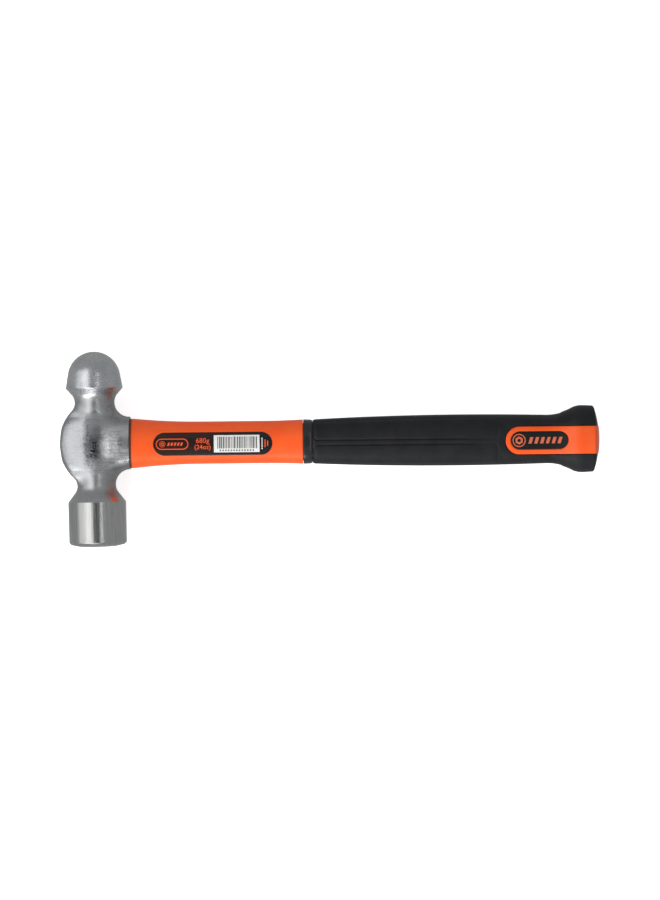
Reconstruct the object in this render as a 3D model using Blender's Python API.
"""Ball peen hammer, lying on its side.

The forged steel head has a ball, two necks, a cheek with a tapered eye, and a poll. A fibreglass core is
bonded into the eye with resin. An orange plastic jacket is moulded on the core, and a black rubber grip
with a hard front collar is moulded on the jacket, which shows through the grip as a strap at the butt.

Everything is measured in millimetres from the hammer's crossing point, where the handle's axis meets the
head's axis: +X runs down the handle to the butt, +Y to the ball and +Z out of the cheek. At the end the
whole hammer is moved so that the world origin lies under the middle of its box, on the surface it lies on.
"""

import math

import bmesh
import bpy
import numpy as np

MM = 0.001
FAR = 60.0  # longer than any cut has to reach

# The gap that keeps neighbouring solids apart.
GAP = 0.3

# Head, on its own axis: radii and heights above (+) and below (-) the crossing point.
HEAD_CANT = math.radians(0.9)  # the ball leans away from the butt, so the face meets the work square
BALL_RADIUS = 16.4
BALL_HEIGHT = 41.25
BALL_SKIRT_ANGLE = math.radians(10)
BALL_RIM_HEIGHT = 35.3
UPPER_NECK_RADIUS = 12.4
UPPER_CONE_ANGLE = math.radians(42)
LOWER_NECK_RADIUS = 12.0
LOWER_CONE_ANGLE = math.radians(37.5)
NECK_HEIGHT = 25.8
NECK_FILLET = 7.9
POLL_RADIUS = 18.0
POLL_DEPTH = 61.6
POLL_CHAMFER = 1.4
FACE_LAND_RADIUS = 9.0
FACE_CROWN = 1.3

# Cheek: a pillow between the necks, with an arched top and a skirt down to the handle.
CHEEK_FILLET = 9.4
CHEEK_TOP = 22.5
CHEEK_TOP_RADIUS = 29.6
CHEEK_TOP_EDGE = 14  # how crisp the edge around the arched top is
CHEEK_HALF_THICKNESS = 15.0
CHEEK_HALF_WIDTH = 27.0
CHEEK_HALF_HEIGHT = 27.5
CHEEK_SQUARENESS = 3.8
CHEEK_FLATNESS = 0.7  # how much squarer the two cheek faces are along the head
CHEEK_DIP = 0.9  # how far the middle of a cheek face lies below its end at the handle
DIP_START, DIP_END = 2.0, 19.0
FACET_START, FACET_ANGLE, FACET_SOFTNESS = -5.5, 8.0, 0.63  # the ground facet away from the handle
SKIRT_END = 21.75
SKIRT_HALF_HEIGHT = 16.4
SKIRT_HALF_THICKNESS = 13.4
FILLET_STEP = 0.1

# Eye: an oval hole, narrowest inside the head.
EYE_WAIST_HALF_HEIGHT = 12.5
EYE_WAIST_HALF_THICKNESS = 8.0
EYE_TAPER = 0.09
EYE_TAPER_LENGTH = 21.9
EYE_SQUARENESS = 2.6
RESIN_TOP = -16.6
CORE_TOP = -16.0

# Core: a pultruded fibreglass bar.
CORE_HALF_HEIGHT = 9.8
CORE_HALF_THICKNESS = 6.3
CORE_SQUARENESS = 3.2
CORE_END = 300.0

# Jacket: the orange shaft, and the tube that it becomes under the grip.
GASKET_THICKNESS = 0.6
JACKET_START = SKIRT_END + GASKET_THICKNESS + 2 * GAP
SHAFT_WAIST_START = 66.0
SHAFT_WAIST_END = 105.0
SHAFT_HALF_HEIGHT = 13.2
SHAFT_HALF_THICKNESS = 10.6
SHAFT_HEAD_FLARE = (2.3, 2.6)
SHAFT_GRIP_FLARE = (0.6, 0.9)
SHAFT_END = 129.7
SHAFT_SQUARENESS = 2.3
TUBE_HALF_HEIGHT = 11.7
TUBE_HALF_THICKNESS = 9.2
TUBE_END = 309.0

# Grip: a long palm swell, then a flare at the butt.
COLLAR_START = SHAFT_END + GAP
COLLAR_END = 135.5
COLLAR_HALF_HEIGHT = 13.9
COLLAR_HALF_THICKNESS = 11.6
GRIP_START = 135.8
GRIP_LIP = 0.8
SWELL_AT = 225.0
SWELL_HALF_HEIGHT = 15.95
SWELL_HALF_THICKNESS = 13.9
SWELL_START_DROP = (2.1, 2.2)
SWELL_END_DROP = (0.8, 0.6)
FLARE_START = 282.0
FLARE_HOLLOW_RADIUS = 33.0
FLARE_CREST_RADIUS = 13.7
BUTT_HALF_HEIGHT = 20.6
BUTT_HALF_THICKNESS = 17.7
BUTT_EDGE = 310.2
BUTT_TIP = 314.6
BUTT_DOME_RADIUS = 60.0
GRIP_SQUARENESS = 2.4

# Strap: the orange stretch of the jacket that shows at the butt, a little proud of the rubber.
TRIM_SHIFT = -0.8  # the label, strap and badges lie a little below the axis
STRAP_PROUD = 0.3
STRAP_START = 255.6
STRAP_HALF_WIDTH = 8.6
STRAP_CLEARANCE = 0.3

# Trim: outlines are stadiums, given by their two ends and their half width.
BADGE_START, BADGE_END, BADGE_HALF_WIDTH = 258.8, 294.4, 5.55
BADGE_TOP, BADGE_BOTTOM, BADGE_POCKET = -0.05, -1.0, -1.25
LABEL_START, LABEL_END, LABEL_HALF_WIDTH = 36.7, 110.8, 7.2
LABEL_TOP, LABEL_BOTTOM, LABEL_POCKET = 0.0, -0.35, -0.6

HEAD_COLUMNS = 44
HANDLE_COLUMNS = 32


# ---------------------------------------------------------------- scene and materials


def clear_scene():
    for obj in list(bpy.data.objects):
        bpy.data.objects.remove(obj)


def material(name, colour, roughness, metallic=0.0):
    made = bpy.data.materials.new(name)
    made.use_nodes = True
    shader = made.node_tree.nodes["Principled BSDF"]
    shader.inputs["Base Color"].default_value = (*colour, 1.0)
    shader.inputs["Roughness"].default_value = roughness
    shader.inputs["Metallic"].default_value = metallic
    made.diffuse_color = (*colour, 1.0)
    return made


# ---------------------------------------------------------------- mesh helpers


def add_object(name, mesh, paint=None, parent=None):
    obj = bpy.data.objects.new(name, mesh)
    bpy.context.scene.collection.objects.link(obj)
    obj.parent = parent
    if paint:
        mesh.materials.append(paint)
        mesh.shade_smooth()
        mesh.set_sharp_from_angle(angle=math.radians(35))
    else:
        obj.hide_render = True
        obj.display_type = "WIRE"
    return obj


def skin(name, rings, paint=None, parent=None):
    """A closed object through rings of points in millimetres, with a flat cap on the first and last ring."""
    shell = bmesh.new()
    rows = [[shell.verts.new([c * MM for c in point]) for point in ring] for ring in rings]
    count = len(rows[0])
    for low, high in zip(rows, rows[1:]):
        for i in range(count):
            j = (i + 1) % count
            shell.faces.new((low[i], low[j], high[j], high[i]))
    shell.faces.new(rows[0])
    shell.faces.new(rows[-1])
    bmesh.ops.recalc_face_normals(shell, faces=shell.faces)
    mesh = bpy.data.meshes.new(name)
    shell.to_mesh(mesh)
    shell.free()
    return add_object(name, mesh, paint, parent)


def boolean(obj, operation, other):
    cut = obj.modifiers.new(f"{operation.lower()} {other.name}", "BOOLEAN")
    cut.operation = operation
    cut.object = other


def oval(x, half_height, half_thickness, squareness, count=HANDLE_COLUMNS):
    """A superellipse across the handle at x: squareness 2 is an ellipse, and more is squarer."""
    ring = []
    for i in range(count):
        c, s = math.cos(2 * math.pi * i / count), math.sin(2 * math.pi * i / count)
        y = math.copysign(abs(c) ** (2 / squareness), c) * half_height
        z = math.copysign(abs(s) ** (2 / squareness), s) * half_thickness
        ring.append((x, y, z))
    return ring


def stadium(start, end, half_width, steps=8):
    """The outline of a strip with round ends, in the handle's X and Y."""
    points = []
    for centre, first in ((end - half_width, -90), (start + half_width, 90)):
        for i in range(steps + 1):
            angle = math.radians(first + 180 * i / steps)
            points.append((centre + half_width * math.cos(angle), TRIM_SHIFT + half_width * math.sin(angle)))
    return points


def prism(name, outline, low, high, paint=None, parent=None):
    return skin(name, [[(x, y, z) for x, y in outline] for z in (low, high)], paint, parent)


# ---------------------------------------------------------------- head


def arc(centre, radius, first, last, steps):
    """Points (height, radius) on an arc, with angles in radians from the +height direction."""
    return [
        (centre[0] + radius * math.cos(a), centre[1] + radius * math.sin(a))
        for a in np.linspace(first, last, steps + 1)
    ]


def neck_rows(neck_radius, outer_radius, cone_angle):
    """From the cheek outwards: the hollow arc, then the cone up to the edge at outer_radius."""
    centre = (NECK_HEIGHT, neck_radius + NECK_FILLET)
    hollow = arc(centre, NECK_FILLET, -math.pi / 2, -math.pi / 2 + cone_angle, 4)
    height, radius = hollow[-1]
    return hollow + [(height + (outer_radius - radius) / math.tan(cone_angle), outer_radius)]


def ball_rows():
    """Neck, rim, tapered skirt and ball, as (height, radius)."""
    tangent_height = BALL_HEIGHT + BALL_RADIUS * math.sin(BALL_SKIRT_ANGLE)
    tangent_radius = BALL_RADIUS * math.cos(BALL_SKIRT_ANGLE)
    rim_radius = tangent_radius + math.tan(BALL_SKIRT_ANGLE) * (tangent_height - BALL_RIM_HEIGHT)
    rows = neck_rows(UPPER_NECK_RADIUS, rim_radius, UPPER_CONE_ANGLE)
    rows.append((BALL_RIM_HEIGHT, rim_radius))
    return rows + arc((BALL_HEIGHT, 0), BALL_RADIUS, math.radians(80), math.radians(6), 9)


def poll_rows():
    """Neck, shoulder, cylinder, chamfer and crowned face, as (depth, radius)."""
    edge_radius = POLL_RADIUS - POLL_CHAMFER
    crown_depth = POLL_DEPTH + POLL_CHAMFER
    rows = neck_rows(LOWER_NECK_RADIUS, POLL_RADIUS, LOWER_CONE_ANGLE)
    rows += [(POLL_DEPTH, POLL_RADIUS), (crown_depth, edge_radius)]
    for share in (0.5, 1.0):
        radius = edge_radius + (FACE_LAND_RADIUS - edge_radius) * share
        rise = FACE_CROWN * math.sin(share * math.pi / 2)
        rows.append((crown_depth + rise, radius))
    return rows


def pillow_radius(angle, heights, half_width, half_height):
    """A rounded block, from the head's axis out in one direction."""
    n = CHEEK_SQUARENESS
    thin = (abs(math.sin(angle)) / CHEEK_HALF_THICKNESS) ** n
    wide = (abs(math.cos(angle)) / half_width) ** n
    q = 2 + CHEEK_FLATNESS * math.sin(angle) ** 4
    bulge = np.clip(1 - np.abs(heights / half_height) ** q, 1e-6, None) ** (1 / q)
    return bulge / (thin + wide) ** (1 / n)


def top_side(angle, heights):
    """The half away from the handle: the pillow, trimmed by the arched top."""
    pillow = pillow_radius(angle, heights, CHEEK_HALF_WIDTH, CHEEK_HALF_HEIGHT)
    sagitta = np.sqrt(np.clip(CHEEK_TOP_RADIUS**2 - heights**2, 1e-6, None))
    top = np.clip(sagitta - CHEEK_TOP_RADIUS + CHEEK_TOP, 1e-3, None) / max(-math.cos(angle), 1e-3)
    p = CHEEK_TOP_EDGE
    return (pillow**-p + top**-p) ** (-1 / p)


def handle_side(angle, heights):
    """The half towards the handle: a pillow that narrows to the skirt, and the oval skirt itself."""
    narrowing = SKIRT_HALF_HEIGHT + (CHEEK_HALF_HEIGHT - SKIRT_HALF_HEIGHT) * math.sin(angle) ** 2
    pillow = pillow_radius(angle, heights, FAR, narrowing)
    oval_height = np.sqrt(np.clip(1 - (heights / SKIRT_HALF_HEIGHT) ** 2, 0, None))
    skirt = SKIRT_HALF_THICKNESS * oval_height / max(abs(math.sin(angle)), 1e-3)
    return np.minimum(np.maximum(pillow, skirt), (SKIRT_END + 3.0) / max(math.cos(angle), 0.3))


def roll_ball(profile, radius):
    """Fills the hollows of each profile as far as a ball of this radius can't reach them."""
    offsets = range(-round(radius / FILLET_STEP), round(radius / FILLET_STEP) + 1)
    caps = [math.sqrt(max(radius**2 - (k * FILLET_STEP) ** 2, 0)) for k in offsets]
    grown = np.max([np.roll(profile, k, axis=1) + cap for k, cap in zip(offsets, caps)], axis=0)
    return np.min([np.roll(grown, k, axis=1) - cap for k, cap in zip(offsets, caps)], axis=0)


def cheek_radii(heights, angles):
    """The cheek's distance from the head's axis, a row of angles for each height."""
    reach = NECK_HEIGHT + 2 * CHEEK_FILLET
    grid = np.arange(-round(reach / FILLET_STEP), round(reach / FILLET_STEP) + 1) * FILLET_STEP
    side = [top_side if math.cos(a) < 0 else handle_side for a in angles]
    block = np.array([radius(a, grid) for radius, a in zip(side, angles)])
    share = np.clip(grid / (2 * NECK_HEIGHT) + 0.5, 0, 1)
    neck = LOWER_NECK_RADIUS + (UPPER_NECK_RADIUS - LOWER_NECK_RADIUS) * share
    filleted = roll_ball(np.maximum(block, neck), CHEEK_FILLET)
    return [np.array([np.interp(height, grid, row) for row in filleted]) for height in heights]


def smooth_step(value, low, high):
    share = min(max((value - low) / (high - low), 0.0), 1.0)
    return share * share * (3 - 2 * share)


def ground(x, y, z):
    """Lowers a point of the two cheek faces: a facet away from the handle, and a dip in the middle."""
    face = smooth_step(abs(z), 5.0, 11.5) * smooth_step(abs(y), 24.0, 16.0)
    slope = FACET_SOFTNESS * math.log1p(math.exp((FACET_START - x) / FACET_SOFTNESS))
    drop = CHEEK_DIP * smooth_step(x, DIP_END, DIP_START) + slope * math.tan(math.radians(FACET_ANGLE))
    return x, y, z - math.copysign(drop * face, z)


def cheek_heights():
    """Rows between the necks: on the fillet's quarter circle at each end, and even between them."""
    fillet = [NECK_HEIGHT - CHEEK_FILLET * math.sin(a) for a in np.radians([20, 38, 54, 68, 80, 89])]
    middle = list(np.linspace(-SKIRT_HALF_HEIGHT, SKIRT_HALF_HEIGHT, 14)[1:-1])
    return [-height for height in fillet] + middle + fillet[::-1]


def hammer_head(paint, parent):
    angles = np.linspace(0, 2 * math.pi, HEAD_COLUMNS, endpoint=False)
    rows = [(-height, np.full(HEAD_COLUMNS, radius)) for height, radius in poll_rows()[::-1]]
    rows += list(zip(cheek_heights(), cheek_radii(cheek_heights(), angles)))
    rows += [(height, np.full(HEAD_COLUMNS, radius)) for height, radius in ball_rows()]
    rings = [
        [ground(r * math.cos(a), height, r * math.sin(a)) for r, a in zip(radii, angles)]
        for height, radii in rows
    ]
    head = skin("hammer_head", rings, paint, parent)
    head.rotation_euler.z = HEAD_CANT
    block = [(SKIRT_END, -FAR), (SKIRT_END + FAR, -FAR), (SKIRT_END + FAR, FAR), (SKIRT_END, FAR)]
    boolean(head, "DIFFERENCE", prism("skirt_end_cut", block, -FAR, FAR, parent=parent))
    boolean(head, "DIFFERENCE", skin("eye_cut", eye_rings(-FAR, FAR, 0.0), parent=parent))
    return head


# ---------------------------------------------------------------- eye and handle


def eye_rings(start, end, inset):
    """The eye's oval from start to end, opening out towards both of its mouths."""
    mouths = [x for x in (-EYE_TAPER_LENGTH, -12.0, 0.0, 12.0, EYE_TAPER_LENGTH) if start < x < end]
    rings = []
    for x in [start, *mouths, end]:
        open_out = 1 + EYE_TAPER * min(abs(x) / EYE_TAPER_LENGTH, 1.0) ** 2
        half_height = EYE_WAIST_HALF_HEIGHT * open_out - inset
        half_thickness = EYE_WAIST_HALF_THICKNESS * open_out - inset
        rings.append(oval(x, half_height, half_thickness, EYE_SQUARENESS, 28))
    return rings


def core_rings(start, end, grow=0.0):
    size = (CORE_HALF_HEIGHT + grow, CORE_HALF_THICKNESS + grow, CORE_SQUARENESS, 24)
    return [oval(start, *size), oval(end, *size)]


def tube_rings(start, end, grow=0.0):
    size = (TUBE_HALF_HEIGHT + grow, TUBE_HALF_THICKNESS + grow, SHAFT_SQUARENESS)
    return [oval(start, *size), oval(end, *size)]


def shaft_size(x):
    """Half height and half thickness of the orange shaft: two parabolas and a straight waist."""
    if x < SHAFT_WAIST_START:
        share, flare = (SHAFT_WAIST_START - x) / (SHAFT_WAIST_START - JACKET_START), SHAFT_HEAD_FLARE
    else:
        share, flare = max(x - SHAFT_WAIST_END, 0.0) / (SHAFT_END - SHAFT_WAIST_END), SHAFT_GRIP_FLARE
    return SHAFT_HALF_HEIGHT + flare[0] * share**2, SHAFT_HALF_THICKNESS + flare[1] * share**2


def shaft_rings(stations, grow=0.0):
    return [oval(x, *(half + grow for half in shaft_size(x)), SHAFT_SQUARENESS) for x in stations]


def swell_size(x):
    """Half height and half thickness of the palm swell, before the flare."""
    if x < SWELL_AT:
        share, drop = (SWELL_AT - x) / (SWELL_AT - GRIP_START), SWELL_START_DROP
    else:
        share, drop = (min(x, FLARE_START) - SWELL_AT) / (FLARE_START - SWELL_AT), SWELL_END_DROP
    return SWELL_HALF_HEIGHT - drop[0] * share**2, SWELL_HALF_THICKNESS - drop[1] * share**2


def grip_size(x):
    """Half height and half thickness of the grip: the swell, a hollow arc, a crest arc, and the butt."""
    height, thickness = swell_size(x)
    hollow_centre = height + FLARE_HOLLOW_RADIUS
    crest_centre = BUTT_HALF_HEIGHT - FLARE_CREST_RADIUS
    reach = FLARE_HOLLOW_RADIUS + FLARE_CREST_RADIUS
    crest_at = FLARE_START + math.sqrt(reach**2 - (hollow_centre - crest_centre) ** 2)
    meeting = FLARE_START + (crest_at - FLARE_START) * FLARE_HOLLOW_RADIUS / reach
    if x <= FLARE_START:
        return height, thickness
    if x < meeting:
        flared = hollow_centre - math.sqrt(FLARE_HOLLOW_RADIUS**2 - (x - FLARE_START) ** 2)
    elif x < crest_at:
        flared = crest_centre + math.sqrt(FLARE_CREST_RADIUS**2 - (x - crest_at) ** 2)
    else:
        flared = BUTT_HALF_HEIGHT
    share = (flared - height) / (BUTT_HALF_HEIGHT - height)
    return flared, thickness + (BUTT_HALF_THICKNESS - thickness) * share


def grip_rings(stations, grow=0.0, butt=True):
    rings = [oval(x, *(half + grow for half in grip_size(x)), GRIP_SQUARENESS) for x in stations]
    for share in (0.985, 0.955, 0.8, 0.55, 0.25) if butt else ():
        height, thickness = (half * share + grow for half in (BUTT_HALF_HEIGHT, BUTT_HALF_THICKNESS))
        dome = BUTT_TIP - (BUTT_HALF_HEIGHT * share) ** 2 / (2 * BUTT_DOME_RADIUS)
        corner = (dome + BUTT_EDGE) / 2 if share > 0.96 else dome
        rings.append(oval(corner + grow, height, thickness, GRIP_SQUARENESS))
    return rings


def outer_shell(name, outline, floor, side, paint=None, parent=None):
    """The part of a prism that lies outside a lofted floor, on the +Z or -Z side."""
    low, high = (0.0, FAR) if side > 0 else (-FAR, 0.0)
    shell = prism(name, outline, low, high, paint, parent)
    boolean(shell, "DIFFERENCE", floor)
    return shell


SHAFT_STATIONS = [JACKET_START, 26, 31, 38, 47, SHAFT_WAIST_START, SHAFT_WAIST_END, 114, 122, SHAFT_END]
LABEL_STATIONS = [28, 31, 38, 47, SHAFT_WAIST_START, SHAFT_WAIST_END, 114, 120]
GRIP_STATIONS = [GRIP_START + GRIP_LIP, 150, 168, 186, 205, SWELL_AT, 245, 262, 273, FLARE_START]
FLARE_STATIONS = [285.5, 288.5, 291.5, 294.5, 297.5, 300.5, 303.9, BUTT_EDGE]
STRAP_STATIONS = [250, 262, 273, FLARE_START, *FLARE_STATIONS]
BADGE_STATIONS = [255, 262, 273, FLARE_START, *FLARE_STATIONS[:5]]


def jacket(paint, parent):
    """The shaft, the tube under the grip and the strap at the butt, bored for the core."""
    rings = shaft_rings(SHAFT_STATIONS) + tube_rings(SHAFT_END, TUBE_END)
    body = skin("handle_jacket", rings, paint, parent)
    strap = skin("strap_form", grip_rings(STRAP_STATIONS, STRAP_PROUD), parent=parent)
    outline = stadium(STRAP_START, STRAP_START + 2 * FAR, STRAP_HALF_WIDTH)
    boolean(strap, "INTERSECT", prism("strap_outline", outline, -FAR, FAR, parent=parent))
    boolean(body, "UNION", strap)
    bore = skin("core_bore", core_rings(0.0, CORE_END + GAP, GAP), parent=parent)
    boolean(body, "DIFFERENCE", bore)
    return body


def fit_label(body, paint, parent):
    """The film label, and the shallow pocket that it lies in."""
    outline = stadium(LABEL_START, LABEL_END, LABEL_HALF_WIDTH)
    wider = stadium(LABEL_START - GAP, LABEL_END + GAP, LABEL_HALF_WIDTH + GAP)
    floor, top, bottom = (
        skin(name, shaft_rings(LABEL_STATIONS, level), parent=parent)
        for name, level in (
            ("label_floor", LABEL_POCKET),
            ("label_top", LABEL_TOP),
            ("label_bottom", LABEL_BOTTOM),
        )
    )
    boolean(body, "DIFFERENCE", outer_shell("label_pocket", wider, floor, 1, parent=parent))
    label = outer_shell("shaft_label", outline, bottom, 1, paint, parent)
    boolean(label, "INTERSECT", top)


def fit_badges(body, paint, parent):
    """An inlay in the strap on each side, and the pockets that they lie in."""
    outline = stadium(BADGE_START, BADGE_END, BADGE_HALF_WIDTH)
    wider = stadium(BADGE_START - GAP, BADGE_END + GAP, BADGE_HALF_WIDTH + GAP)
    floor, top, bottom = (
        skin(name, grip_rings(BADGE_STATIONS, STRAP_PROUD + level, butt=False), parent=parent)
        for name, level in (
            ("badge_floor", BADGE_POCKET),
            ("badge_top", BADGE_TOP),
            ("badge_bottom", BADGE_BOTTOM),
        )
    )
    for name, side in (("badge_front", 1), ("badge_back", -1)):
        boolean(body, "DIFFERENCE", outer_shell(name + "_pocket", wider, floor, side, parent=parent))
        badge = outer_shell(name, outline, bottom, side, paint, parent)
        boolean(badge, "INTERSECT", top)


def grip(paint, parent):
    lip = [half - GRIP_LIP / 2 for half in grip_size(GRIP_START)]
    rings = [oval(GRIP_START, *lip, GRIP_SQUARENESS)]
    rings += grip_rings(GRIP_STATIONS + FLARE_STATIONS)
    body = skin("rubber_grip", rings, paint, parent)
    window = stadium(
        STRAP_START - STRAP_CLEARANCE, STRAP_START + 2 * FAR, STRAP_HALF_WIDTH + STRAP_CLEARANCE
    )
    boolean(body, "DIFFERENCE", prism("strap_window", window, -FAR, FAR, parent=parent))
    bore = skin("grip_bore", tube_rings(SHAFT_END - FAR, TUBE_END + GAP, GAP), parent=parent)
    boolean(body, "DIFFERENCE", bore)


def collar(paint, parent):
    edge = 0.35  # how much the ring's two rims are rounded
    size = (COLLAR_HALF_HEIGHT, COLLAR_HALF_THICKNESS)
    stations = ((COLLAR_START, edge), (COLLAR_START + edge, 0), (COLLAR_END - edge, 0), (COLLAR_END, edge))
    rings = [oval(x, *(half - inset for half in size), GRIP_SQUARENESS) for x, inset in stations]
    ring = skin("grip_collar", rings, paint, parent)
    bore = skin("collar_bore", tube_rings(SHAFT_END - FAR, SHAFT_END + FAR, GAP), parent=parent)
    boolean(ring, "DIFFERENCE", bore)


def gasket(paint, parent):
    start = SKIRT_END + GAP
    height, thickness = shaft_size(JACKET_START)
    size = (height - 0.4, thickness - 0.3, SHAFT_SQUARENESS)
    rings = [oval(start, *size), oval(start + GASKET_THICKNESS, *size)]
    ring = skin("eye_gasket", rings, paint, parent)
    bore = skin("gasket_bore", core_rings(0.0, FAR, GAP), parent=parent)
    boolean(ring, "DIFFERENCE", bore)


def resin(paint, parent):
    sleeve = skin("eye_resin", eye_rings(RESIN_TOP, SKIRT_END - GAP, GAP), paint, parent)
    bore = skin("resin_bore", core_rings(-FAR, FAR, GAP), parent=parent)
    boolean(sleeve, "DIFFERENCE", bore)


def lay_on_ground(root):
    """Moves the hammer so that the origin lies under the middle of its box."""
    bpy.context.view_layer.update()
    graph = bpy.context.evaluated_depsgraph_get()
    corners = []
    for obj in bpy.context.scene.objects:
        if obj.type == "MESH" and not obj.hide_render:
            evaluated = obj.evaluated_get(graph)
            matrix = np.array(evaluated.matrix_world)
            points = np.array([v.co for v in evaluated.data.vertices])
            placed = points @ matrix[:3, :3].T + matrix[:3, 3]
            corners += [placed.min(axis=0), placed.max(axis=0)]
    low, high = np.min(corners, axis=0), np.max(corners, axis=0)
    root.location = (-(low[0] + high[0]) / 2, -(low[1] + high[1]) / 2, -low[2])


def build():
    clear_scene()
    steel = material("forged_steel", (0.52, 0.53, 0.54), 0.32, 1.0)
    orange = material("orange_jacket", (0.92, 0.13, 0.02), 0.35)
    rubber = material("black_rubber", (0.012, 0.013, 0.014), 0.6)
    gloss = material("black_gloss", (0.01, 0.01, 0.011), 0.2)
    film = material("label_film", (0.012, 0.01, 0.01), 0.25)
    glass = material("fibreglass", (0.62, 0.6, 0.42), 0.5)
    amber = material("cured_resin", (0.1, 0.07, 0.03), 0.25)

    root = bpy.data.objects.new("crossing_point", None)
    bpy.context.scene.collection.objects.link(root)
    hammer_head(steel, root)
    resin(amber, root)
    skin("fibreglass_core", core_rings(CORE_TOP, CORE_END), glass, root)
    gasket(rubber, root)
    body = jacket(orange, root)
    fit_label(body, film, root)
    fit_badges(body, gloss, root)
    collar(gloss, root)
    grip(rubber, root)
    lay_on_ground(root)


build()
